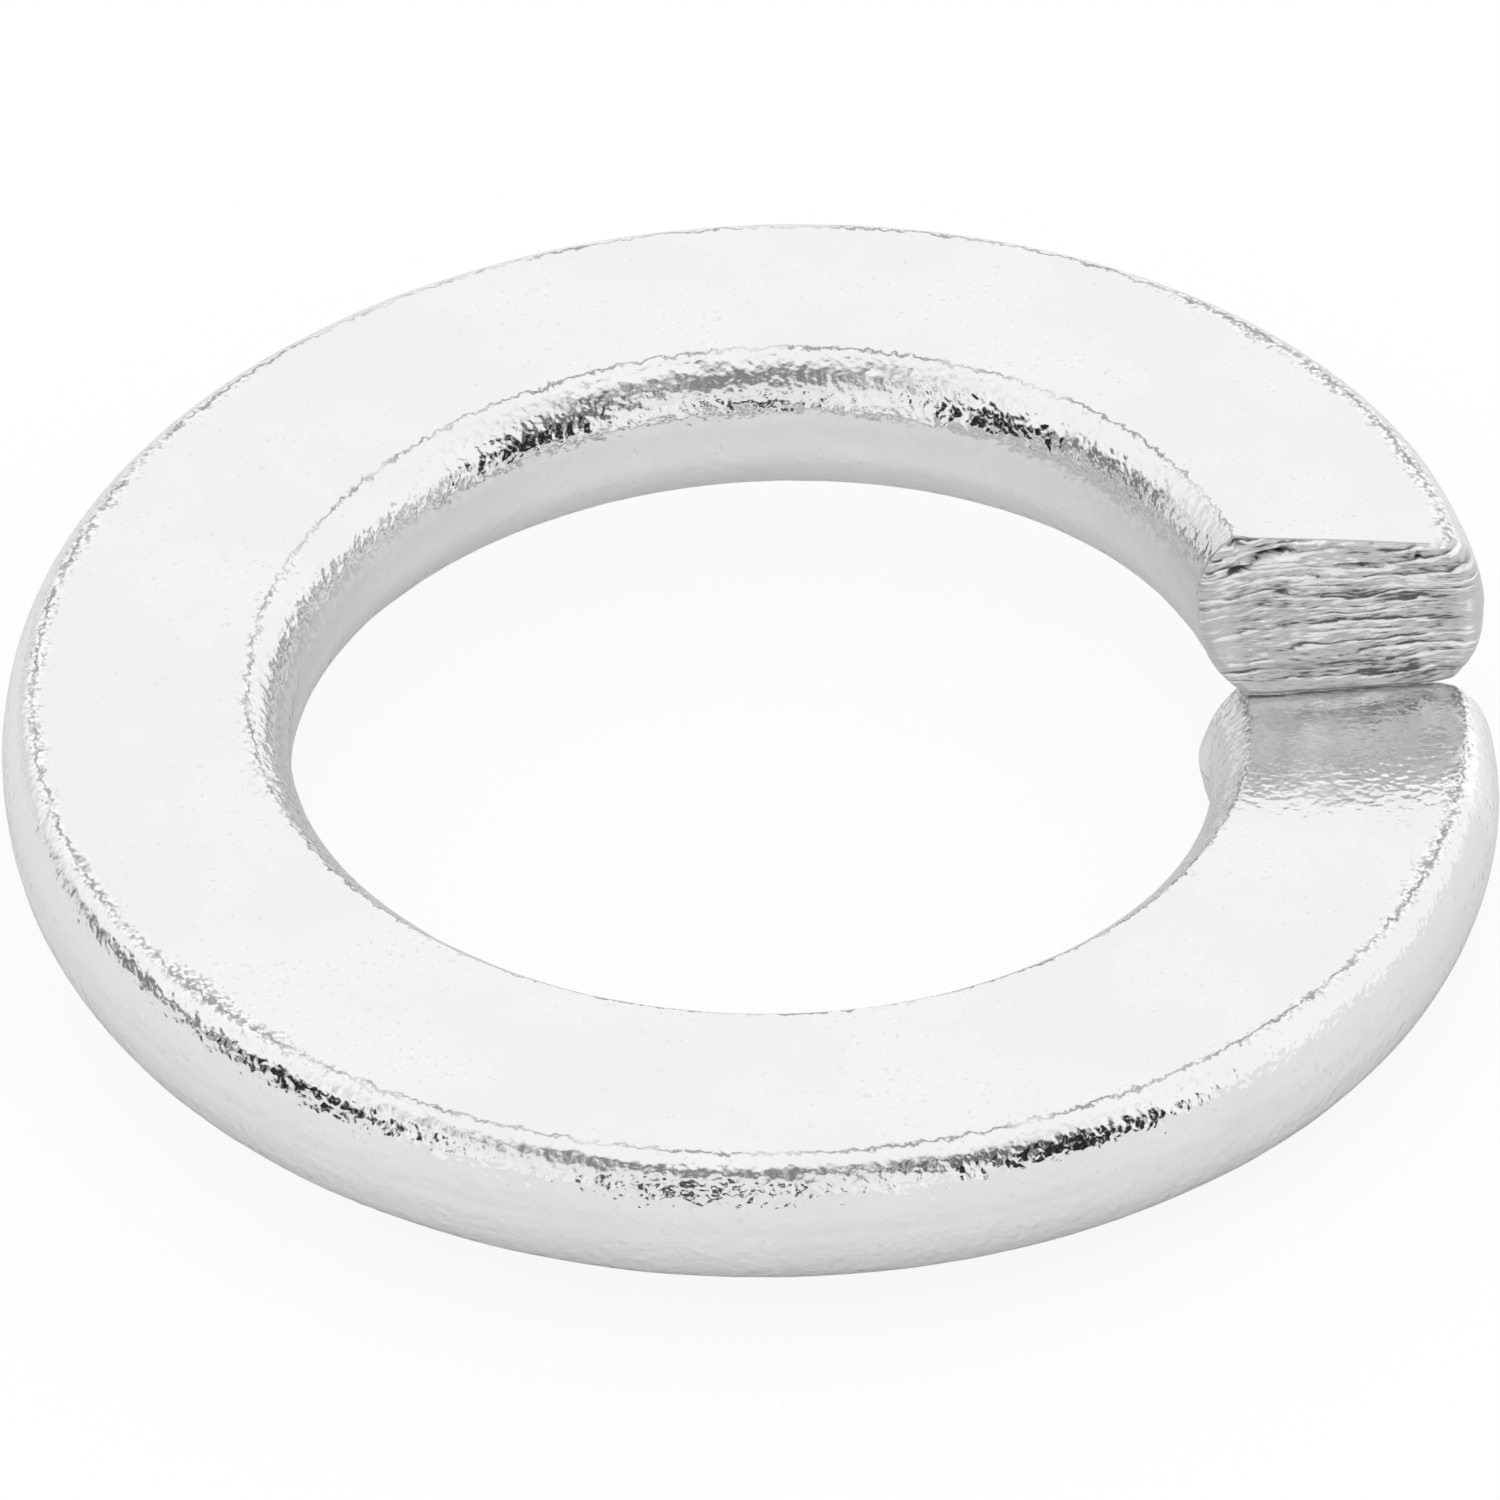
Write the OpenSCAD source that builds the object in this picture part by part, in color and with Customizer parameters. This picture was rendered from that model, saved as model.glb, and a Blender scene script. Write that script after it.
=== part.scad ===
// Spring lock washer for a 12 mm bolt: one turn of flat wire coiled left-handed,
// split where the turn was sheared off, with the lower end bent down.
// Millimetres, +Z up along the bore, lowest point at z = 0, split on the +X side.

/* [Wire] */
// Width of the flat wire, from the bore to the rim
wire_width = 4; // [3.4:0.1:4.6]
// Thickness of the wire at the middle of its width
wire_thickness = 2.24; // [2:0.02:2.6]
// How much thicker the wire is beside the bore than at the rim
wire_taper = 0.37; // [0:0.01:0.5]
// Breadth of the rounded edges on the bore side
bore_rounding = 0.62; // [0.3:0.02:1]
// Breadth of the rounded edges on the rim side
rim_rounding = 0.5; // [0.3:0.02:1]
// Height over which each of the four edges is rounded
rounding_height = 1; // [0.4:0.05:1.1]
// Depth of the true round wall that the mandrel leaves in the rounded bore side
mandrel_flat = 0.05; // [0.03:0.01:0.12]

/* [Coil] */
// Diameter of the bore
bore_diameter = 12.75; // [12.2:0.05:13.4]
// Height that the wire climbs over one full turn
coil_rise = 2; // [1:0.1:3]
// Dish of the whole ring in degrees, with the bore side lower than the rim
dish = 2.2; // [0:0.1:4]

/* [Split] */
// Width of the split along the middle of the wire
split_gap = 0.3; // [0.2:0.05:1.5]
// Lean of the sheared faces at the bore, in degrees from upright
bore_lean = 15; // [0:1:20]
// Lean of the sheared faces at the rim, in degrees from upright
rim_lean = 5; // [0:1:20]
// Length of the lower end that is bent down
bend_length = 3.4; // [1:0.1:5]
// How far the tip of the lower end is bent down
bend_drop = 0.21; // [0:0.01:0.6]
// Roll of the lower end in degrees, with its bore side up
lower_roll = 1; // [0:0.1:2]
// Length of the raised end that the shear rolled over
roll_length = 3; // [1:0.1:6]
// Roll of the raised end in degrees, with its bore side up
raised_roll = 6.8; // [0:0.1:8]

/* [Smoothness] */
// Steps that the wire takes round the coil
coil_steps = 132; // [72:12:180]
// Steps round each rounded edge
rounding_steps = 6; // [4:1:8]
// Facets of the bore
bore_facets = 180; // [72:12:240]

/* [Hidden] */

steel_colour = [0.78, 0.78, 0.79];
full_turn = 360;
quarter_turn = 90;
bore_radius = bore_diameter / 2;
rim_radius = bore_radius + wire_width;
middle_radius = (bore_radius + rim_radius) / 2;
// The wire comes off the coiler a little proud of the bore and is then trued to it
wire_inner_radius = bore_radius - mandrel_flat;
bore_edge_radius = wire_inner_radius + bore_rounding;
rim_edge_radius = rim_radius - rim_rounding;

// Angles are measured clockwise from +X, seen from above, and the wire climbs with them
half_split = asin(split_gap / 2 / middle_radius);
lower_angle = half_split;
upper_angle = full_turn - half_split;
degrees_per_length = full_turn / (2 * PI * middle_radius);
bend_span = bend_length * degrees_per_length;
roll_span = roll_length * degrees_per_length;
// The slant of a sheared face is taken up over this much of the turn beside it
slant_span = 30;

// Half the thickness of the tapered wire at a distance from the axis of the bore
function half_thickness(r) =
    (wire_thickness + wire_taper * (middle_radius - r) / wire_width) / 2;
// Where the rounded edges meet on the thin rim side, they share its height
edge_height = min(rounding_height, half_thickness(rim_radius));

// How near a point of the coil is to the tip of the bent end, from 0 to 1 at the tip
function lower_nearness(angle) = pow(max(0, 1 - (angle - lower_angle) / bend_span), 2);
// The same for the rolled tip of the raised end
function upper_nearness(angle) = pow(max(0, 1 - (upper_angle - angle) / roll_span), 2);

// Rise of the wire for each millimetre towards the bore, at an angle round the coil
function inward_rise(angle) =
    tan(raised_roll) * upper_nearness(angle) + tan(lower_roll) * lower_nearness(angle) - tan(dish);

// How far the two lower edges of the lower end's tip lie below the middle of the wire
tip_depths = [for (r = [bore_edge_radius, rim_edge_radius])
    half_thickness(r) - (middle_radius - r) * inward_rise(lower_angle)];
// Height of the wire's middle, so that the tip of the lower end touches z = 0
start_height = max(tip_depths) + bend_drop - coil_rise * lower_angle / full_turn;

// Height of the wire's middle surface at an angle round the coil and a distance from the axis
function middle_height(angle, r) =
    start_height + coil_rise * angle / full_turn - bend_drop * lower_nearness(angle)
    + (middle_radius - r) * inward_rise(angle);

// One quarter of the wire's outline, from the side wall to the flat face: a quarter
// ellipse on the sloping face. side is 1 at the rim and -1 at the bore, face is 1 on top
function edge_quarter(edge_radius, rounding, side, face) =
    [for (i = [0:rounding_steps])
        let (
            turn = quarter_turn * i / rounding_steps,
            r = edge_radius + side * rounding * cos(turn)
        )
        [r, face * (half_thickness(r) - edge_height * (1 - sin(turn)))]];

function backwards(list) = [for (i = [len(list) - 1:-1:0]) list[i]];

// The wire's closed outline as [distance from the axis, height], counterclockwise
wire_outline = concat(
    edge_quarter(rim_edge_radius, rim_rounding, 1, 1),
    backwards(edge_quarter(bore_edge_radius, bore_rounding, -1, 1)),
    edge_quarter(bore_edge_radius, bore_rounding, -1, -1),
    backwards(edge_quarter(rim_edge_radius, rim_rounding, 1, -1))
);
outline_count = len(wire_outline);

// Angle by which a point of a sheared face leans back from the foot of that face
function slant_angle(r, z) =
    let (
        across = (r - bore_radius) / wire_width,
        lean = bore_lean + (rim_lean - bore_lean) * across,
        height = z + half_thickness(r)
    )
    atan(height * tan(lean) / r);

// A ring's angle, shifted by the slant of the nearer sheared face
function station_angle(angle, r, z) =
    let (nearness = max(0, 1 - min(angle - lower_angle, upper_angle - angle) / slant_span))
    angle - nearness * slant_angle(r, z);

// A point of the outline carried to its place round the coil
function coil_point(angle, p) =
    let (a = station_angle(angle, p[0], p[1]))
    [p[0] * cos(a), -p[0] * sin(a), p[1] + middle_height(a, p[0])];

// One turn of wire: rings of outline points, with a fan of triangles over each sheared end
module coiled_wire() {
    ring_angles = [for (i = [0:coil_steps])
        lower_angle + (upper_angle - lower_angle) * i / coil_steps];
    ring_points = [for (angle = ring_angles, p = wire_outline) coil_point(angle, p)];
    end_centres = [for (angle = [lower_angle, upper_angle]) coil_point(angle, [middle_radius, 0])];
    lower_centre = len(ring_points);
    upper_centre = lower_centre + 1;
    last_ring = coil_steps * outline_count;
    sides = [for (i = [0:coil_steps - 1], j = [0:outline_count - 1])
        let (
            next = (j + 1) % outline_count,
            a = i * outline_count + j,
            b = i * outline_count + next,
            c = a + outline_count,
            d = b + outline_count
        )
        each [[a, b, c], [b, d, c]]];
    lower_end = [for (j = [0:outline_count - 1]) [lower_centre, (j + 1) % outline_count, j]];
    upper_end = [for (j = [0:outline_count - 1])
        [upper_centre, last_ring + j, last_ring + (j + 1) % outline_count]];
    polyhedron(points = concat(ring_points, end_centres), faces = concat(sides, lower_end, upper_end));
}

// Room above and below the coil for the cut that trues the bore
bore_cut_margin = 1;
bore_cut_height = start_height + coil_rise + wire_thickness + 2 * bore_cut_margin;

module washer() {
    color(steel_colour)
    difference() {
        coiled_wire();
        translate([0, 0, -bore_cut_margin])
        cylinder(r = bore_radius, h = bore_cut_height, $fn = bore_facets);
    }
}

washer();
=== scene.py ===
import math
import bpy
import numpy as np
from mathutils import Matrix


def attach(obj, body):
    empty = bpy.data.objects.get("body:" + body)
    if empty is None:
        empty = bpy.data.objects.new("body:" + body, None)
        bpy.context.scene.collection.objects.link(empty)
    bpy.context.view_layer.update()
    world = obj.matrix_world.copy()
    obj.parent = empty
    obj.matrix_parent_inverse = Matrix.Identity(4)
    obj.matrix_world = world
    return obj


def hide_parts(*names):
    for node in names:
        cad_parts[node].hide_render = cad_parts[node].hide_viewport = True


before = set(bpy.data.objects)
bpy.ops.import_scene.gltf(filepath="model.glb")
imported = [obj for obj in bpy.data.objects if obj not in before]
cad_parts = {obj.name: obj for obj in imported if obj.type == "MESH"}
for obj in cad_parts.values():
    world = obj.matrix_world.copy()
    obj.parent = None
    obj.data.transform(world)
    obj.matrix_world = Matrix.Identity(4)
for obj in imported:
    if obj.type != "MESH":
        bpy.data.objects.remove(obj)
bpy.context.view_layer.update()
print("frame loaded")

mm = 0.001


# Wraps one output socket of a node tree, so that an expression on such values adds its Math nodes
class Signal:
    def __init__(self, tree, socket=None):
        self.tree = tree
        self.socket = socket

    # Adds any node: its settings first, then its sockets by name or number, and gives one output
    def node(self, kind, settings=None, sockets=None, output=0):
        made = self.tree.nodes.new(kind)
        for name, value in (settings or {}).items():
            setattr(made, name, value)
        for key, value in (sockets or {}).items():
            if isinstance(value, Signal):
                self.tree.links.new(value.socket, made.inputs[key])
            else:
                made.inputs[key].default_value = value
        return Signal(self.tree, made.outputs[output] if len(made.outputs) else None)

    def math(self, operation, *values):
        sockets = {i: value for i, value in enumerate(values)}
        return self.node("ShaderNodeMath", {"operation": operation}, sockets)

    def __add__(self, other):
        return self.math("ADD", self, other)

    def __radd__(self, other):
        return self.math("ADD", other, self)

    def __sub__(self, other):
        return self.math("SUBTRACT", self, other)

    def __rsub__(self, other):
        return self.math("SUBTRACT", other, self)

    def __mul__(self, other):
        return self.math("MULTIPLY", self, other)

    def __rmul__(self, other):
        return self.math("MULTIPLY", other, self)

    def __truediv__(self, other):
        return self.math("DIVIDE", self, other)

    def __pow__(self, other):
        return self.math("POWER", self, other)

    def size(self):
        return self.math("ABSOLUTE", self)

    # What is left of this value above the whole number below it
    def fraction(self):
        return self.math("FRACT", self)

    def most(self, other):
        return self.math("MAXIMUM", self, other)

    # 0 below low, 1 above high, and smooth in between
    def ramp(self, low, high):
        sockets = {"Value": self, "From Min": low, "From Max": high}
        return self.node("ShaderNodeMapRange", {"interpolation_type": "SMOOTHSTEP"}, sockets)

    # Dot product of this vector with a fixed one
    def dot(self, other):
        return self.node("ShaderNodeVectorMath", {"operation": "DOT_PRODUCT"},
                         {0: self, 1: other}, "Value")

    # This vector with each of its parts multiplied by its own number
    def stretched(self, scale):
        return self.node("ShaderNodeVectorMath", {"operation": "MULTIPLY"}, {0: self, 1: scale})

    def noise(self, scale, detail, roughness):
        sockets = {"Vector": self, "Scale": scale, "Detail": detail, "Roughness": roughness}
        return self.node("ShaderNodeTexNoise", {}, sockets)

    # Two colours, plain or worked out, mixed by a value
    def mixed(self, share, low, high):
        ends = [c if isinstance(c, Signal) else (*c, 1.0) for c in (low, high)]
        sockets = {0: share, 6: ends[0], 7: ends[1]}
        return self.node("ShaderNodeMix", {"data_type": "RGBA"}, sockets, 2)


washerSpec = {  # lengths in millimetres, angles in degrees, as in the solid's source
    "wireWidth": 4.0,
    "wireThickness": 2.24,
    "wireTaper": 0.37,
    "boreRounding": 0.62,
    "rimRounding": 0.5,
    "mandrelFlat": 0.05,
    "boreDiameter": 12.75,
    "coilRise": 2.0,
    "dish": 2.2,
    "splitGap": 0.3,
    "boreLean": 15.0,
    "rimLean": 5.0,
    "bendLength": 3.4,
    "bendDrop": 0.21,
    "lowerRoll": 1.0,
    "rollLength": 3.0,
    "raisedRoll": 6.8,
    "slantSpan": 30.0,
    "roundingHeight": 1.0,
    "boreCrease": 32.0,    # tilt of the bore side at the edge of the land
    "boreTurn": 0.9,       # power by which the rest of its tilt builds up
    "inset": 0.009,        # keeps the wavering edges inside the solid
    "wavers": [(0.006, 0.9, 30), (0.003, 0.35, 60)],   # size, length, bumps round the outline
    "stations": 262,       # rings round the coil
    # relative spacing of the rings at the ends, what the middle has more, length it grows over
    "spacing": (0.035, 0.2, 1.6),
    "landColumns": 62,     # points across each land
    "sideRows": 96,        # points down each side
    "seed": 12,
}

ws = washerSpec
boreRadius = ws["boreDiameter"] / 2
rimRadius = boreRadius + ws["wireWidth"]
middleRadius = (boreRadius + rimRadius) / 2
wireInnerRadius = boreRadius - ws["mandrelFlat"]
boreEdgeRadius = wireInnerRadius + ws["boreRounding"]
rimEdgeRadius = rimRadius - ws["rimRounding"]
lowerAngle = math.degrees(math.asin(ws["splitGap"] / 2 / middleRadius))
upperAngle = 360 - lowerAngle
degreesPerLength = 360 / (2 * math.pi * middleRadius)


def tangent(degrees):
    return math.tan(math.radians(degrees))


# Half the wire's thickness, tapering evenly from the bore to the rim
def halfThickness(r):
    return (ws["wireThickness"] + ws["wireTaper"] * (middleRadius - r) / ws["wireWidth"]) / 2


# 1 at the tip of an end, falling to 0 as the square of what is left of its length
def nearness(distance, length):
    return np.maximum(0, 1 - distance / (length * degreesPerLength)) ** 2


# Rise for each millimetre towards the bore: the rolls of the two ends, less the dish
def inwardRise(angle):
    raised = nearness(upperAngle - angle, ws["rollLength"]) * tangent(ws["raisedRoll"])
    lower = nearness(angle - lowerAngle, ws["bendLength"]) * tangent(ws["lowerRoll"])
    return raised + lower - tangent(ws["dish"])


tipDepth = halfThickness(boreEdgeRadius) - (middleRadius - boreEdgeRadius) * inwardRise(lowerAngle)
startHeight = tipDepth + ws["bendDrop"] - ws["coilRise"] * lowerAngle / 360


# A helix that climbs evenly, less the bend of the lower end, plus the tilt across the wire
def middleHeight(angle, r):
    bent = nearness(angle - lowerAngle, ws["bendLength"])
    return (startHeight + ws["coilRise"] * angle / 360 - ws["bendDrop"] * bent
            + (middleRadius - r) * inwardRise(angle))


# Lean of the sheared face: atan of height above the foot times the tangent of the lean, over r
def slantAngle(r, z):
    lean = ws["boreLean"] + (ws["rimLean"] - ws["boreLean"]) * (r - boreRadius) / ws["wireWidth"]
    return np.degrees(np.arctan((z + halfThickness(r)) * np.tan(np.radians(lean)) / r))


# Carries points of the outline (r, z) to their angle round the coil: x = r cos a, y = -r sin a
def coilPoints(angle, r, z):
    near = np.maximum(0, 1 - np.minimum(angle - lowerAngle, upperAngle - angle) / ws["slantSpan"])
    a = angle - np.minimum(near, 1) * slantAngle(r, z)
    turn = np.radians(a)
    return np.stack([r * np.cos(turn), -r * np.sin(turn), z + middleHeight(a, r)], axis=-1)


# Smooth random heights from -1 to 1: random corners of unit cells, eased between by 3t^2 - 2t^3
def valueNoise(u, v, seed):
    cells = 64
    corners = np.random.default_rng(seed).uniform(-1, 1, (cells, cells))
    i = np.floor(u).astype(int)
    j = np.floor(v).astype(int)
    s = u - i
    t = v - j
    s = s * s * (3 - 2 * s)
    t = t * t * (3 - 2 * t)
    i, nextI = i % cells, (i + 1) % cells
    j, nextJ = j % cells, (j + 1) % cells
    top = corners[i, j] * (1 - s) + corners[nextI, j] * s
    low = corners[i, nextJ] * (1 - s) + corners[nextI, nextJ] * s
    return top * (1 - t) + low * t


# One side of the outline, evenly spaced by length: a rounding, a short upright wall, and back in
def sideOutline(edgeRadius, side, rounding, count):
    r = edgeRadius + side * rounding[0]
    z = halfThickness(r) - rounding[1]
    r = np.concatenate([r, r[::-1]])
    z = np.concatenate([z, -z[::-1]])
    along = np.concatenate([[0], np.cumsum(np.hypot(np.diff(r), np.diff(z)))])
    place = np.linspace(0, along[-1], count + 2)
    return np.interp(place, along, r), np.interp(place, along, z), place


roundingSteps = 200


# From a crease, the surface tilts by 90 - (90 - crease) w^power while w falls from 1 to 0
def creasedRounding(breadth, crease, power):
    tilt = np.radians(90 - (90 - crease) * np.linspace(1, 0, roundingSteps) ** power)
    middle = (tilt[1:] + tilt[:-1]) / 2
    out = np.concatenate([[0], np.cumsum(np.cos(middle))])
    down = np.concatenate([[0], np.cumsum(np.sin(middle))])
    return out * breadth / out[-1], down * breadth / out[-1]


# A quarter ellipse: breadth sin t outwards and height (1 - cos t) down
def ovalRounding(breadth, height):
    turn = np.radians(np.linspace(0, 90, roundingSteps))
    return breadth * np.sin(turn), height * (1 - np.cos(turn))


boreRounding = creasedRounding(boreEdgeRadius - boreRadius, ws["boreCrease"], ws["boreTurn"])
rimRounding = ovalRounding(ws["rimRounding"], ws["roundingHeight"])
boreR, boreZ, borePlace = sideOutline(boreEdgeRadius, -1, boreRounding, ws["sideRows"])
rimR, rimZ, rimPlace = sideOutline(rimEdgeRadius, 1, rimRounding, ws["sideRows"])
landR = np.linspace(boreEdgeRadius, rimEdgeRadius, ws["landColumns"])
landShare = np.linspace(0, 1, ws["landColumns"])

# The closed ring: top land outwards, down the rim, bottom land inwards, up the bore
ringR = np.concatenate([landR, rimR[1:-1], landR[::-1], boreR[1:-1][::-1]])
ringZ = np.concatenate([halfThickness(landR), rimZ[1:-1], -halfThickness(landR[::-1]),
                        boreZ[1:-1][::-1]])
ringCount = len(ringR)

# How far past the edge of a land each point is, in millimetres, and below 0 on the land itself
landPast = -np.minimum(landR - landR[0], landR[-1] - landR)
rimPast = np.minimum(rimPlace, rimPlace[-1] - rimPlace)[1:-1]
borePast = np.minimum(borePlace, borePlace[-1] - borePlace)[1:-1]
ringPast = np.concatenate([landPast, rimPast, landPast, borePast])

# Outward direction of the ring in its own plane: its chord turned by a quarter
chordR = np.roll(ringR, -1) - np.roll(ringR, 1)
chordZ = np.roll(ringZ, -1) - np.roll(ringZ, 1)
chord = np.hypot(chordR, chordZ)
outR = -chordZ / chord
outZ = chordR / chord
flip = np.sign(np.sum(outR * (ringR - middleRadius)))
outR = outR * flip
outZ = outZ * flip


# Angles of the rings: their spacing grows from fine at the two ends to coarse in the middle
def stationPlaces():
    fine, more, growth = ws["spacing"]
    probeCount = 20001
    probe = np.linspace(lowerAngle, upperAngle, probeCount)
    fromEnd = np.minimum(probe - lowerAngle, upperAngle - probe) / degreesPerLength
    spacing = fine + more * (1 - np.exp(-(fromEnd / growth) ** 1.5))
    passed = np.concatenate([[0], np.cumsum(1 / spacing[1:])])
    return np.interp(np.linspace(0, passed[-1], ws["stations"]), passed, probe)


stationAngles = stationPlaces()
print("stations from", round(float(stationAngles[1] - stationAngles[0]), 3), "to",
      round(float(np.max(np.diff(stationAngles))), 3), "degrees apart")

endSpec = {  # the two sheared faces, in millimetres
    "rimRound": 0.26,      # rounding where the shear rolled the rim side over
    "boreRound": 0.14,
    "topRound": 0.03,
    "footRound": 0.07,
    "reach": 0.18,         # how far the lower end's top edge reaches into the split
    "footReach": 0.45,     # share of it by which the raised end's foot does
    "swell": 0.1,          # how far the shear pushed the lower tip's bore side out
    "swellAlong": (0.12, 0.3),     # place and half length along the wire, from the tip
    "swellUp": (0.12, 0.42),       # and up the bore side, from the wire's middle
    "swellAcross": 0.4,            # grows over this breadth of the bore side
    "tornMargin": 0.07,    # the torn look runs this far past the raised end's rounding
    "tipLook": (2.2, 4.4),         # the rough look and the painted brighter reflection by the lower tip fade out between these
    "ridges": 11,          # torn layers up the face
    "ridgeDepth": 0.045,
    "ridgeRise": (0.03, 0.27),     # climb of a layer at the foot, and what it has more at the top
    "lowerRidgeDepth": 0.02,
    # pits and hollows torn out of the raised face: place across and up it, half sizes, rise, depth
    "pits": [(0.137, 0.965, 0.03, 0.028, 0.0, 0.16), (0.235, 0.905, 0.07, 0.022, 0.5, 0.2),
             (0.14, 0.8, 0.03, 0.022, 0.3, 0.2), (0.284, 0.66, 0.035, 0.014, 0.2, 0.12),
             (0.55, 0.85, 0.07, 0.013, 0.1, 0.13), (0.76, 0.92, 0.014, 0.014, 0.0, 0.08),
             (0.14, 0.585, 0.09, 0.012, 0.2, 0.06)],
    # painted shade and light on the raised face, black painted shadow where it passes 1, as at the
    # pits: place, half sizes, rise, shade
    "paintedLightAndShade": [(0.64, 0.65, 0.2, 0.035, 0.0, 0.85), (0.66, 0.13, 0.23, 0.05, -0.04, 1.0),
                (0.85, 0.53, 0.07, 0.08, 0.0, 0.55), (0.31, 0.175, 0.13, 0.045, 0.05, 0.4),
                (0.1, 0.885, 0.045, 0.05, 0.2, -1.2), (0.27, 0.835, 0.07, 0.03, 0.35, -1.3),
                (0.14, 0.72, 0.07, 0.025, 0.2, -0.7), (0.33, 0.7, 0.1, 0.02, 0.5, -0.9),
                (0.25, 0.8, 0.22, 0.14, 0.2, -0.6), (0.5, 0.03, 0.6, 0.06, 0.0, 0.4),
                (0.72, 0.745, 0.14, 0.035, 0.0, -0.7), (0.62, 0.565, 0.3, 0.014, 0.02, -0.7),
                (0.5, 0.385, 0.38, 0.014, 0.04, -0.7), (0.22, 0.3, 0.1, 0.014, 0.2, -0.6),
                (0.05, 0.35, 0.07, 0.25, 0.0, -0.35), (0.97, 0.5, 0.06, 0.42, 0.0, -0.85),
                (0.137, 0.965, 0.025, 0.022, 0.0, 2.2), (0.225, 0.895, 0.03, 0.02, 0.5, 2.2),
                (0.28, 0.925, 0.03, 0.012, 0.2, 2.0), (0.14, 0.8, 0.022, 0.022, 0.3, 2.2),
                (0.175, 0.84, 0.03, 0.01, 0.9, 1.8), (0.284, 0.66, 0.022, 0.012, 0.2, 2.0),
                (0.55, 0.85, 0.055, 0.009, 0.1, 1.9), (0.76, 0.92, 0.01, 0.012, 0.0, 2.2)],
    # places where the shear left the face smooth: place, half sizes, rise
    "smooth": [(0.31, 0.175, 0.12, 0.045, 0.05), (0.04, 0.33, 0.09, 0.25, 0.0),
               (0.5, 0.02, 0.6, 0.07, 0.0), (1.0, 0.45, 0.1, 0.5, 0.0)],
}
layerSeed = ws["seed"] + 10
shadeSeed = ws["seed"] + 20


# A soft oval on the face, 1 in its middle and 0 past its edge, tilted by its rise
def oval(u, v, patch, soft=0.6):
    far = np.hypot((u - patch[0]) / patch[2], (v - patch[1] - patch[4] * (u - patch[0])) / patch[3])
    return np.clip((1 + soft - far) / (2 * soft), 0, 1)


# Height of the torn layer at a place on the face: each layer climbs by 1 - e^(-u / 0.3) times
# a share that grows evenly with its height, and wavers
def tornLayer(u, v, seed):
    low, more = endSpec["ridgeRise"]
    climb = (low + more * np.clip(v, 0, 1)) * (1 - np.exp(-np.clip(u, 0, 1) / 0.3))
    slow = 0.04 * valueNoise(u * 2.2, v * 2.5, seed)
    quick = 0.012 * valueNoise(u * 9, v * 5, seed + 1)
    return v - climb + slow + quick


# How rough the raised face is, from 0 where the shear left it smooth to 1
def tornRough(u, v):
    rough = np.ones(u.shape)
    for patch in endSpec["smooth"]:
        rough = rough * (1 - 0.85 * oval(u, v, patch))
    return rough


# Depth of a torn face: layers that rise over three quarters of their height and drop over the
# last, with fine scratches, and for the raised face its reaching foot and its pits
def tornDepth(u, v, seed, raised):
    es = endSpec
    phase = tornLayer(u, v, seed) * es["ridges"]
    saw = phase - np.floor(phase)
    layer = np.where(saw < 0.75, saw / 0.75, (1 - saw) / 0.25) - 0.5
    strength = 0.6 + 0.55 * valueNoise(u * 3 + 7, phase * 0.9, seed + 2)
    fine = valueNoise(u * 14, phase * 5, seed + 3) + 0.6 * valueNoise(u * 30, phase * 8, seed + 4)
    fade = np.clip(v / 0.14, 0, 1) * np.clip((1 - v) / 0.05, 0, 1)
    layers = fade * (layer * strength + 0.22 * fine)
    if not raised:
        return es["lowerRidgeDepth"] * layers + es["reach"] * np.clip(v / 0.3 - 2.3, 0, 1)
    foot = es["reach"] * es["footReach"] * np.clip(1 - v / 0.3, 0, 1)
    depth = es["ridgeDepth"] * layers * tornRough(u, v) + foot
    ragged = 1 + 0.35 * valueNoise(u * 40, v * 40, seed + 6)
    for pit in es["pits"]:
        depth = depth - pit[5] * np.clip(oval(u, v, pit, 0.5) * ragged, 0, 1)
    return depth


# Painted shade and light of the raised face, on a faint random tone: 0 plain, towards 1 painted
# shade, past it black painted shadow, and below 0 painted light
def paintedTornShade(u, v, seed):
    shade = 0.2 * valueNoise(u * 4, v * 30, seed)
    broken = 0.75 + 0.5 * valueNoise(u * 18, v * 60, seed + 2)
    for patch in endSpec["paintedLightAndShade"]:
        shade = shade + patch[5] * oval(u, v, patch) * broken
    return np.clip(shade, -1.3, 2.2)


# Rows run down the face and columns across it, straight from the bore side to the rim side
def faceGrid(r, z):
    columns = ws["landColumns"]
    rows = ws["sideRows"]
    top = slice(0, columns)
    rim = slice(columns, columns + rows)
    foot = slice(columns + rows, 2 * columns + rows)
    bore = slice(2 * columns + rows, None)
    grids = []
    for value in (r, z):
        left = value[bore][::-1]
        right = value[rim]
        inner = left[:, None] * (1 - landShare) + right[:, None] * landShare
        grids.append(np.vstack([value[top], inner, value[foot][::-1]]))
    return grids


# Numbers of the ring's points laid out as the same grid, with fresh numbers for the inner points
def faceNumbers(firstRing, firstInner):
    columns = ws["landColumns"]
    rows = ws["sideRows"]
    ring = np.arange(ringCount) + firstRing
    grid = np.zeros((rows + 2, columns), int)
    grid[0] = ring[:columns]
    grid[-1] = ring[columns + rows:2 * columns + rows][::-1]
    grid[1:-1, 1:-1] = firstInner + np.arange(rows * (columns - 2)).reshape(rows, columns - 2)
    grid[1:-1, -1] = ring[columns:columns + rows]
    grid[1:-1, 0] = ring[2 * columns + rows:][::-1]
    return grid


# Four-sided faces of a grid of point numbers
def gridFaces(numbers, turned=False):
    quads = np.stack([numbers[:-1, :-1], numbers[1:, :-1], numbers[1:, 1:], numbers[:-1, 1:]], -1)
    quads = quads.reshape(-1, 4)
    return quads[:, ::-1] if turned else quads


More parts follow.
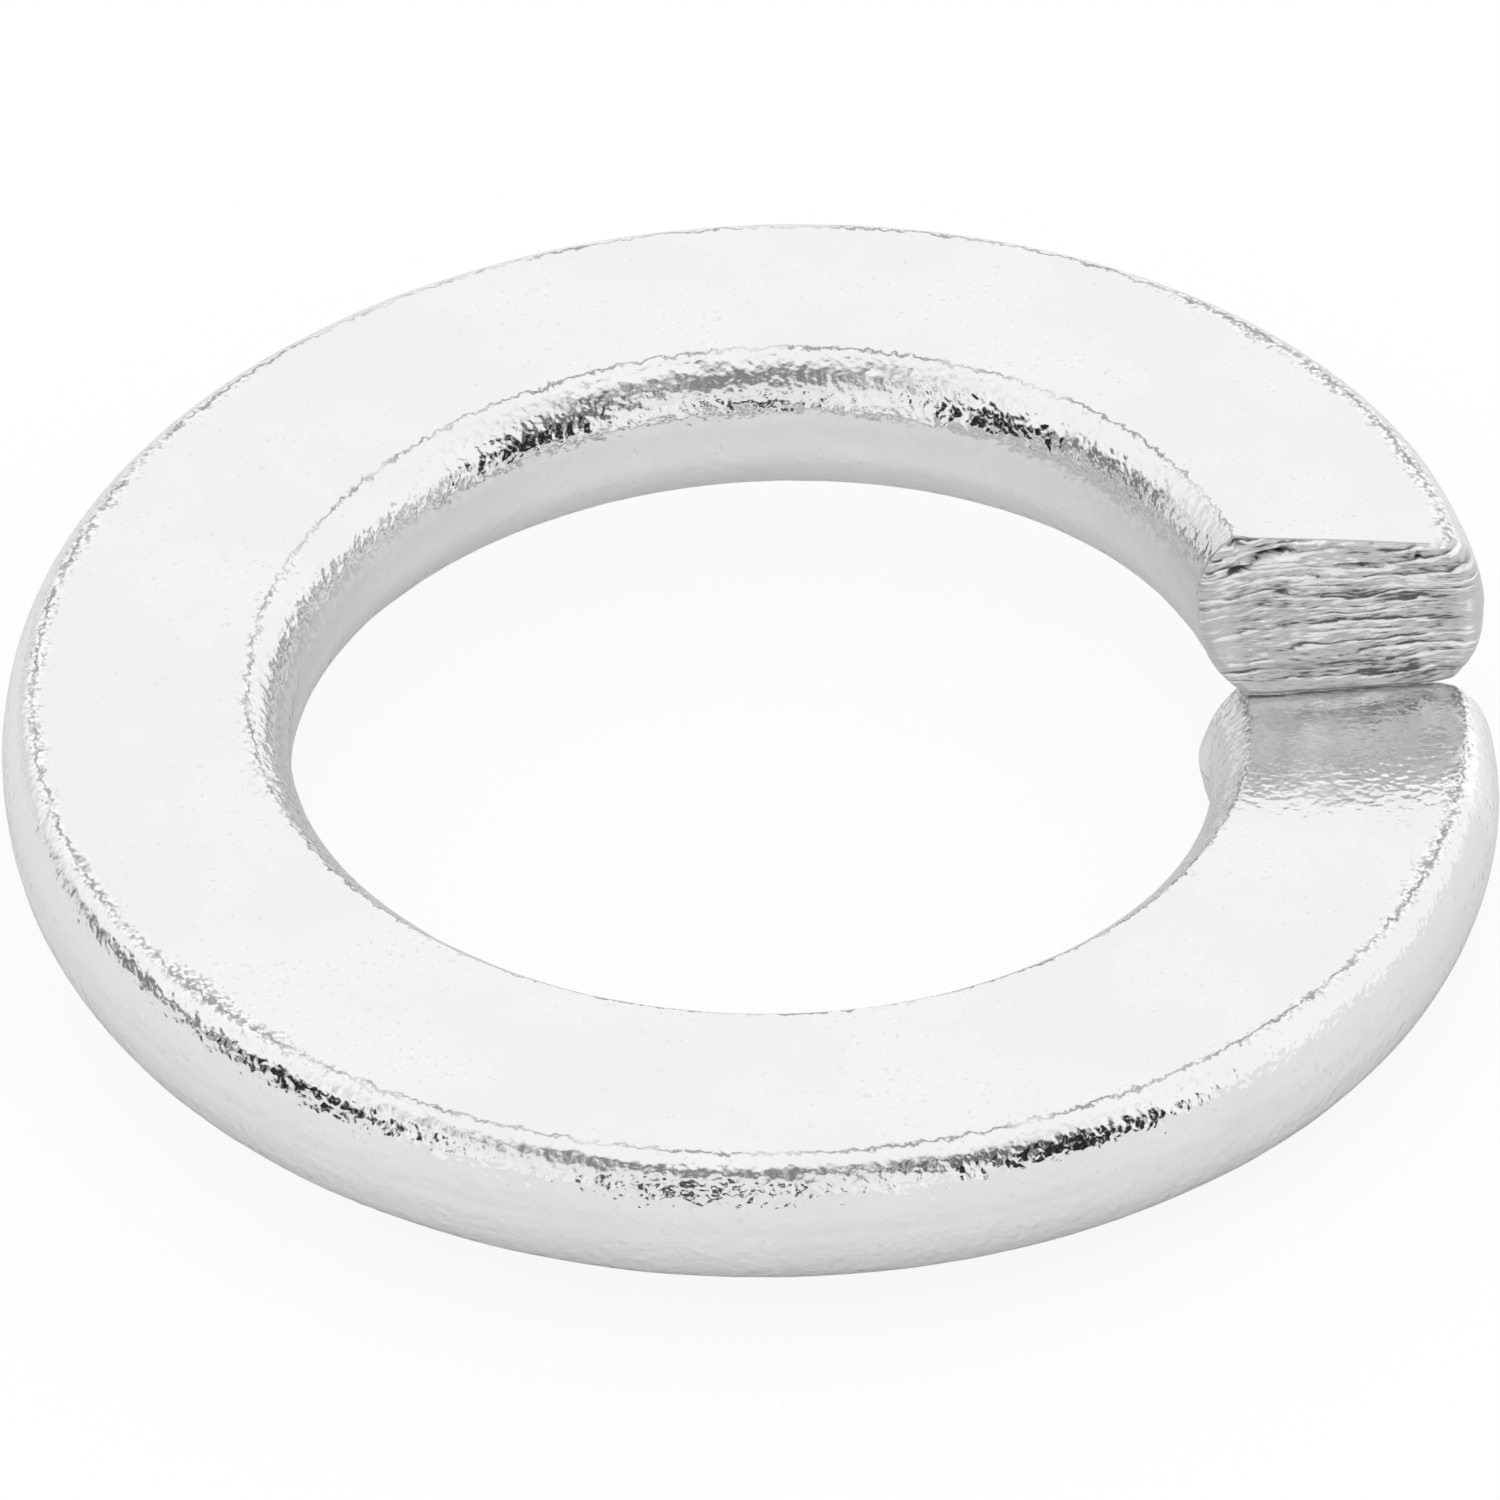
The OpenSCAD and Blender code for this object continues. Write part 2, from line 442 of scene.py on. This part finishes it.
# Breadth of the rounding at an end, for each point of the ring: one for each of its four parts,
# blended where they meet
def endRounding():
    columns = ws["landColumns"]
    rows = ws["sideRows"]
    rounding = np.concatenate([
        np.full(columns, endSpec["topRound"]), np.full(rows, endSpec["rimRound"]),
        np.full(columns, endSpec["footRound"]), np.full(rows, endSpec["boreRound"])])
    blend = 12
    weights = np.hanning(2 * blend + 1)
    padded = np.concatenate([rounding[-blend:], rounding, rounding[:blend]])
    return np.convolve(padded, weights / np.sum(weights), "valid")


# The ring at each station, drawn in by a quarter circle near the ends and by its waviness
def wireRings(distance, fromTip, rounding):
    share = np.clip(1 - distance / rounding, 0, 1)
    inset = rounding * (1 - np.sqrt(1 - share ** 2))
    along = stationAngles[:, None] / degreesPerLength
    across = np.arange(ringCount) / ringCount
    waver = ws["inset"]
    for number, (size, length, bumps) in enumerate(ws["wavers"]):
        waver = waver + valueNoise(along / length, across * bumps, ws["seed"] + number) * size
    # The waviness is full on the rounded edges, and a quarter of that on the lands
    inset = inset + np.clip(ringPast / 0.2 + 0.3, 0.25, 1) * waver
    r = np.maximum(ringR - inset * outR, boreRadius)
    z = ringZ - inset * outZ
    # The shear swelled the lower tip's bore side a little
    placeAlong, sizeAlong = endSpec["swellAlong"]
    placeUp, sizeUp = endSpec["swellUp"]
    far = ((fromTip - placeAlong) / sizeAlong) ** 2 + ((z - placeUp) / sizeUp) ** 2
    grown = np.clip((boreEdgeRadius - r) / endSpec["swellAcross"], 0, 1)
    return r - endSpec["swell"] * np.exp(-far) * grown, z


# Place across and up a sheared face, each from 0 to 1
def placeOnFace(r, z):
    return (r - boreRadius) / ws["wireWidth"], z / (2 * halfThickness(r)) + 0.5


# One turn of wire: the ring carried along the helix, and a torn face at each of its two ends
def buildWasher():
    stations = ws["stations"]
    angle = stationAngles[:, None] * np.ones(ringCount)
    distance = np.minimum(angle - lowerAngle, upperAngle - angle) / degreesPerLength
    fromTip = (angle - lowerAngle) / degreesPerLength
    rounding = endRounding()
    r, z = wireRings(distance, fromTip, rounding)
    numbers = np.arange(stations * ringCount).reshape(stations, ringCount)
    faces = [gridFaces(np.concatenate([numbers, numbers[:, :1]], axis=1))]
    count = stations * ringCount
    facePoints = []
    faceMasks = []
    ringPaintedShade = np.zeros(r.shape)
    inner = np.s_[1:-1, 1:-1]
    # The lower end and the raised one, each with its ring, its angle and the way out of the wire
    for station, tip, outward in ((0, lowerAngle, -1), (stations - 1, upperAngle, 1)):
        gridR, gridZ = faceGrid(r[station], z[station])
        u, v = placeOnFace(gridR, gridZ)
        depth = tornDepth(u, v, layerSeed, outward > 0)
        # Painted shade and light, on the raised face only
        shade = paintedTornShade(u, v, shadeSeed) * (outward > 0)
        # The rings beside the face follow the depth of its edge
        edgeNumbers = faceNumbers(0, ringCount)
        edge = edgeNumbers < ringCount
        edgeDepth = np.zeros(ringCount)
        edgeDepth[edgeNumbers[edge]] = depth[edge]
        # The end ring takes the painted shade and light of the face's edge
        ringPaintedShade[station, edgeNumbers[edge]] = shade[edge]
        fade = np.clip(1 - np.abs(angle - tip) / degreesPerLength / 0.3, 0, 1) ** 2
        angle = angle + outward * fade * np.degrees(edgeDepth / r)
        turn = tip + outward * np.degrees(depth[inner] / gridR[inner])
        facePoints.append(coilPoints(turn, gridR[inner], gridZ[inner]).reshape(-1, 3))
        # Past the edge of a land, wholly sheared, and without the lower end's own look
        whole = np.ones(len(facePoints[-1]))
        marks = [shade, u, tornLayer(u, v, layerSeed), tornRough(u, v)]
        marks = [0.5 * whole, whole, 0 * whole] + [m[inner].ravel() for m in marks]
        faceMasks.append(np.stack(marks, -1))
        faces.append(gridFaces(faceNumbers(station * ringCount, count), turned=outward > 0))
        count += len(whole)
    past = np.broadcast_to(ringPast, r.shape)
    margin = endSpec["tornMargin"] * (angle > 180)
    sheared = np.clip(1.6 - 1.6 * distance / (rounding + margin), 0, 1)
    full, gone = endSpec["tipLook"]
    nearTip = np.clip((gone - fromTip) / (gone - full), 0, 1) * (z > 0)
    u, v = placeOnFace(r, z)
    marks = [past, sheared, nearTip, ringPaintedShade, u, tornLayer(u, v, layerSeed), tornRough(u, v)]
    points = [coilPoints(angle, r, z).reshape(-1, 3)] + facePoints
    masks = [np.stack([m.ravel() for m in marks], -1)] + faceMasks
    return np.vstack(points), np.vstack(faces), np.vstack(masks)


# The fourth mask carries the painted shade and light of the raised face
maskNames = ("landPast", "sheared", "nearTip", "paintedTornShade", "tornAcross", "tornLayer", "tornRough")
sharpAngle = 60.0


# A piece of four-sided faces, from points in millimetres, with its masks as point attributes
def meshPiece(name, points, faces, masks=None):
    mesh = bpy.data.meshes.new(name)
    mesh.vertices.add(len(points))
    mesh.vertices.foreach_set("co", (points * mm).astype(np.float32).ravel())
    mesh.loops.add(faces.size)
    mesh.loops.foreach_set("vertex_index", faces.astype(np.int32).ravel())
    mesh.polygons.add(len(faces))
    mesh.polygons.foreach_set("loop_start", np.arange(0, faces.size, 4, dtype=np.int32))
    mesh.update(calc_edges=True)
    mesh.validate()
    if masks is not None:
        for column, maskName in enumerate(maskNames):
            attribute = mesh.attributes.new(maskName, "FLOAT", "POINT")
            attribute.data.foreach_set("value", masks[:, column].astype(np.float32))
    mesh.polygons.foreach_set("use_smooth", np.ones(len(faces), bool))
    mesh.set_sharp_from_angle(angle=math.radians(sharpAngle))
    piece = bpy.data.objects.new(name, mesh)
    bpy.context.scene.collection.objects.link(piece)
    return piece


washerPoints, washerFaces, washerMasks = buildWasher()
washer = meshPiece("coiledWasher", washerPoints, washerFaces, washerMasks)
# Signed volume: where it comes out below zero, the faces point inwards and are turned round
corner = washerPoints[washerFaces]
volume = np.sum(np.cross(corner[:, 0], corner[:, 1]) * corner[:, 2]) / 6
volume = volume + np.sum(np.cross(corner[:, 0], corner[:, 2]) * corner[:, 3]) / 6
if volume < 0:
    washer.data.flip_normals()
print("washer mesh:", len(washerFaces) * 2, "triangles, volume", round(float(volume), 1))


platingSpec = {
    "colour": (0.91, 0.91, 0.912),
    "cloudColour": (0.88, 0.88, 0.885),
    # dark specks of painted shade, standing for the dark reflections of tiny bumps
    "speckShadeColour": (0.48, 0.48, 0.483),
    # painted highlight: the glints at the land edges and the brighter land by the lower tip
    "paintedLightColour": (0.99, 0.99, 0.99),
    # painted shade along the crease at each land's edge
    "lineShadeColour": (0.36, 0.36, 0.363),
    "tornColour": (0.61, 0.61, 0.613),
    # dark streaks and the painted shade of the torn ridges and patches
    "tornDarkAndShade": (0.12, 0.12, 0.121),
    # black painted shadow in the torn pits
    "tornPitShadow": (0.004, 0.004, 0.004),
    # pale streaks and the painted light of the torn ridges and patches
    "tornPaleAndLit": (0.98, 0.98, 0.98),
    "tornMetal": 0.35,         # how metallic the matt torn faces look
    "roughness": 0.06,
    "tornRoughness": 0.3,
    "pebble": 8500.0,          # specks per metre: the painted dark specks and glints
    "grain": 14450.0,          # finer ones
    "ripple": 6000.0,          # bends of the line at the edge of a land
    "patch": 1100.0,           # places where bumps and specks come and go
    "cloud": 420.0,            # soft blotches
    "dent": 6200.0,            # bumps of the plating
    "dentHeight": 0.029,       # millimetres, on the rounded edges
    "calm": 0.12,              # share of that height on the lands and the walls
    "lineDepth": 0.006,        # millimetres, as the next three heights are
    "ridgeHeight": 0.012,
    "streakHeight": 0.05,
    "scratchHeight": 0.01,
    "layers": 18.0,            # torn ridges up a sheared face
}


# Bright zinc with bumps at the edges, painted dark specks and painted glints there, mixed by a mask
# with the torn steel, whose colour holds painted light and shade
def zincPlating():
    ps = platingSpec
    material = bpy.data.materials.new("brightZinc")
    material.use_nodes = True
    tree = material.node_tree
    tree.nodes.clear()
    start = Signal(tree)

    def mask(maskName):
        return start.node("ShaderNodeAttribute", {"attribute_name": maskName}, output="Fac")

    where = start.node("ShaderNodeTexCoord", output="Object")
    past = mask("landPast")
    sheared = mask("sheared")
    # Painted shade and light of the raised face
    shade = mask("paintedTornShade")
    pebble = where.noise(ps["pebble"], 1.0, 0.5)
    grain = where.noise(ps["grain"], 1.0, 0.5)
    ripple = where.noise(ps["ripple"], 2.0, 0.55)
    dent = where.noise(ps["dent"], 1.5, 0.5)
    patch = where.noise(ps["patch"], 2.0, 0.55)
    cloud = where.noise(ps["cloud"], 3.0, 0.6)
    # Close to the edge of a land, over a breadth that varies, and most on the two sides of the coil
    aside = where.dot((1 / mm, 0.0, 0.0)).size().ramp(4.0, 8.5)
    nearEdge = (past + patch * 0.3 + cloud * 0.4 * aside).ramp(0.06, 0.34)
    nearEdge = nearEdge * (1 - past.ramp(0.04, 0.25)) * (0.15 + 0.85 * aside)
    # Rough on the rounded edges and by the lower tip, calmer on the lands and down the walls
    onRound = past.ramp(-0.15, 0.12) * (1 - past.ramp(0.95, 1.4)) * (0.6 + 0.8 * patch)
    wrinkled = mask("nearTip") * patch.ramp(0.2, 0.6) * 0.8
    rough = ps["calm"] + (1 - ps["calm"]) * onRound.most(wrinkled)
    # A thin wavering line where each land ends: painted shade along that crease and a shallow
    # groove, with painted dark specks and painted glints about it
    wander = (past - 0.02 + (ripple - 0.5) * 0.26 + (pebble - 0.5) * 0.08).size()
    line = (1 - wander.ramp(0.006, 0.042)) * grain.ramp(0.15, 0.5)
    line = line * (0.3 + 0.7 * patch.ramp(0.35, 0.6))
    dots = pebble * 0.4 + grain * 0.6
    # Painted shade: dark specks near the land edges, standing for reflections of the bumps
    speckShade = (dots + nearEdge * 0.15 + cloud * 0.3).ramp(0.74, 0.9)
    speckShade = speckShade * (0.25 + 0.75 * nearEdge)
    # Painted highlight: glints near the land edges
    paintedGlints = (1.0 - dots + nearEdge * 0.14).ramp(0.56, 0.76) * nearEdge
    clean = start.mixed(cloud.ramp(0.35, 0.65), ps["cloudColour"], ps["colour"])
    # Painted reflection: the land beside the lower tip is made a little brighter
    clean = start.mixed(mask("nearTip").ramp(0.85, 1.0), clean, ps["paintedLightColour"])
    glinting = start.mixed(paintedGlints, clean, ps["paintedLightColour"])
    speckled = start.mixed(speckShade, glinting, ps["speckShadeColour"])
    lined = start.mixed(line, speckled, ps["lineShadeColour"])
    # Torn faces: ridges that run along the layers and come and go, with painted light on their
    # upper side and painted shade below; random streaks and scratches add their own tone
    layers = start.node("ShaderNodeCombineXYZ", {}, {0: mask("tornAcross"), 1: mask("tornLayer")})
    tornRough = 0.1 + 0.9 * mask("tornRough")
    bend = layers.stretched((2.4, 5.0, 1.0)).noise(1.0, 1.0, 0.5)
    jitter = layers.stretched((9.0, 22.0, 1.0)).noise(1.0, 2.0, 0.6)
    there = layers.stretched((2.6, 9.0, 1.0)).noise(1.0, 2.0, 0.5)
    streak = layers.stretched((3.2, 24.0, 1.0)).noise(1.0, 3.0, 0.6)
    scratch = layers.stretched((16.0, 75.0, 1.0)).noise(1.0, 2.0, 0.6)
    climb = mask("tornLayer") * ps["layers"] + (bend - 0.5) * 2.4 + (jitter - 0.5) * 1.0
    ridge = climb.fraction()
    lit = ridge.ramp(0.6, 0.8) * (1 - ridge.ramp(0.9, 1.0)) * there.ramp(0.4, 0.58)
    ridgeShade = (1 - ridge.ramp(0.0, 0.4)) * there.ramp(0.33, 0.55)
    # Tone of the torn face: painted shade below the ridges and painted light above, plus random
    # streaks and scratches
    tone = ridgeShade * 1.0 - lit * 1.6 + (streak - 0.5) * 2.6 + (scratch - 0.5) * 4.2
    tone = shade + tone * tornRough
    torn = start.mixed(tone.ramp(0.05, 1.1), ps["tornColour"], ps["tornDarkAndShade"])
    torn = start.mixed((0 - tone).ramp(0.2, 0.9), torn, ps["tornPaleAndLit"])
    # Painted shadow: black in the pits, where the painted shade passes 1
    torn = start.mixed((shade + (grain - 0.5) * 2.5).ramp(1.0, 1.5), torn, ps["tornPitShadow"])
    colour = start.mixed(sheared, lined, torn)
    plated = dent * ps["dentHeight"] * rough - line * ps["lineDepth"]
    relief = lit * ps["ridgeHeight"] + streak * ps["streakHeight"] + scratch * ps["scratchHeight"]
    height = plated * (1 - sheared) + relief * sheared * tornRough
    normal = start.node("ShaderNodeBump", {}, {"Strength": 1.0, "Distance": mm, "Height": height})
    gloss = ps["roughness"] + onRound * 0.03 + mask("nearTip") * 0.06
    roughness = gloss + sheared * (ps["tornRoughness"] - gloss) + cloud * 0.05
    metallic = 1 - sheared * (1 - ps["tornMetal"])
    shader = start.node("ShaderNodeBsdfPrincipled", {}, {
        "Base Color": colour, "Metallic": metallic, "Roughness": roughness, "Normal": normal})
    start.node("ShaderNodeOutputMaterial", {}, {"Surface": shader})
    return material


washer.data.materials.append(zincPlating())
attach(washer, "root")
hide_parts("washer")
print("plating done")


cameraSpec = {
    "elevation": 37.49,     # degrees above the floor
    "azimuth": -5.41,       # degrees towards +X from straight in front
    "roll": -1.654,
    "distance": 205.81,     # millimetres to the target
    "target": 2.4206,       # height of the target on the bore's axis, in millimetres
    "lens": 356.4,
    "sensor": 36.0,
    "clip": (0.01, 20.0),   # metres
    "shift": (-0.00025, -0.00727),
}


# Steps back from the target by the distance, at the azimuth and elevation, and rolls
def placeCamera():
    cs = cameraSpec
    elevation = math.radians(cs["elevation"])
    azimuth = math.radians(cs["azimuth"])
    roll = math.radians(cs["roll"])
    back = np.array([math.sin(azimuth) * math.cos(elevation),
                     -math.cos(azimuth) * math.cos(elevation), math.sin(elevation)])
    right = np.cross(-back, [0, 0, 1])
    right = right / np.linalg.norm(right)
    up = np.cross(right, -back)
    turnedRight = math.cos(roll) * right + math.sin(roll) * up
    turnedUp = -math.sin(roll) * right + math.cos(roll) * up
    place = np.array([0, 0, cs["target"]]) * mm + back * cs["distance"] * mm
    matrix = np.eye(4)
    matrix[:3, 0] = turnedRight
    matrix[:3, 1] = turnedUp
    matrix[:3, 2] = back
    matrix[:3, 3] = place
    lens = bpy.data.cameras.new("view")
    lens.lens = cs["lens"]
    lens.sensor_width = cs["sensor"]
    lens.shift_x, lens.shift_y = cs["shift"]
    lens.clip_start, lens.clip_end = cs["clip"]
    camera = bpy.data.objects.new("view", lens)
    camera.matrix_world = Matrix(matrix.tolist())
    bpy.context.scene.collection.objects.link(camera)
    bpy.context.scene.camera = camera


placeCamera()


stageSpec = {
    "floorHalf": 0.6,          # metres
    "floorLines": 13,          # grid lines of the floor each way
    "floorColour": 0.84,
    "shadowLift": 0.88,        # share of plain white in the floor that the camera sees
    "skyStrength": 1.0,
    "cardEnd": 1.15,           # where the soft edge of a card ends
    # soft dark cards: degrees aside and up, half sizes, depth, where the soft edge begins
    "cards": [(-63, 11, 18, 14, 0.99, 0.45), (-6, 1, 16, 12, 0.99, 0.45),
              (46, 8, 16, 18, 0.99, 0.5), (-6, 39, 46, 13, 0.74, 0.2),
              (-142, 2, 50, 28, 0.28, 0.0), (-6, 20, 44, 24, 0.12, 0.4),
              (-95, 9, 26, 13, 0.8, 0.2), (34, 27, 13, 12, 0.85, 0.3)],
}


# A flat square grid of points at height 0
def buildFloor():
    half = stageSpec["floorHalf"]
    lines = stageSpec["floorLines"]
    across = np.linspace(-half, half, lines)
    x, y = np.meshgrid(across, across, indexing="ij")
    points = np.stack([x, y, 0 * x], -1).reshape(-1, 3) / mm
    floor = meshPiece("floor", points, gridFaces(np.arange(lines * lines).reshape(lines, lines)))
    material = bpy.data.materials.new("paleFloor")
    material.use_nodes = True
    tree = material.node_tree
    tree.nodes.clear()
    start = Signal(tree)
    isCamera = start.node("ShaderNodeLightPath", output="Is Camera Ray")
    shade = stageSpec["floorColour"]
    colour = start.mixed(isCamera, (shade, shade, shade), (1.0, 1.0, 1.0))
    matt = start.node("ShaderNodeBsdfDiffuse", {}, {"Color": colour})
    white = start.node("ShaderNodeEmission", {}, {"Strength": 1.0})
    # The camera sees a white floor that keeps part of the washer's shadow
    shader = start.node("ShaderNodeMixShader", {},
                        {0: isCamera * stageSpec["shadowLift"], 1: matt, 2: white})
    start.node("ShaderNodeOutputMaterial", {}, {"Surface": shader})
    floor.data.materials.append(material)


# A white sky with cards. A card is an oval of directions: with far^2 = run^2 + rise^2, it is
# darkest where far is below its edge, and gone where far is past the end
def buildSky():
    world = bpy.data.worlds.new("studio")
    bpy.context.scene.world = world
    world.use_nodes = True
    tree = world.node_tree
    tree.nodes.clear()
    start = Signal(tree)
    looking = start.node("ShaderNodeTexCoord", output="Generated")
    isGlossy = start.node("ShaderNodeLightPath", output="Is Glossy Ray")
    light = 1.0
    for aside, height, wide, tall, depth, edge in stageSpec["cards"]:
        azimuth = math.radians(cameraSpec["azimuth"] + aside)
        ahead = looking.dot((math.sin(azimuth), -math.cos(azimuth), 0))
        sideways = looking.dot((math.cos(azimuth), math.sin(azimuth), 0))
        upward = looking.dot((0, 0, 1)) - math.sin(math.radians(height))
        run = sideways / math.sin(math.radians(wide))
        rise = upward / math.sin(math.radians(tall))
        far = (run * run + rise * rise) ** 0.5
        card = (1 - far.ramp(edge, stageSpec["cardEnd"])) * ahead.ramp(0.0, 0.1)
        light = (1 - card * depth) * light
    strength = stageSpec["skyStrength"]
    colour = start.mixed(light, (0, 0, 0), (1, 1, 1))
    carded = start.node("ShaderNodeBackground", {}, {"Color": colour, "Strength": strength})
    plain = start.node("ShaderNodeBackground", {}, {"Color": (1, 1, 1, 1), "Strength": strength})
    # Only reflections see the cards
    sky = start.node("ShaderNodeMixShader", {}, {0: isGlossy, 1: plain, 2: carded})
    start.node("ShaderNodeOutputWorld", {}, {"Surface": sky})


buildFloor()
buildSky()
bpy.context.scene.view_settings.view_transform = "Standard"
print("stage done")
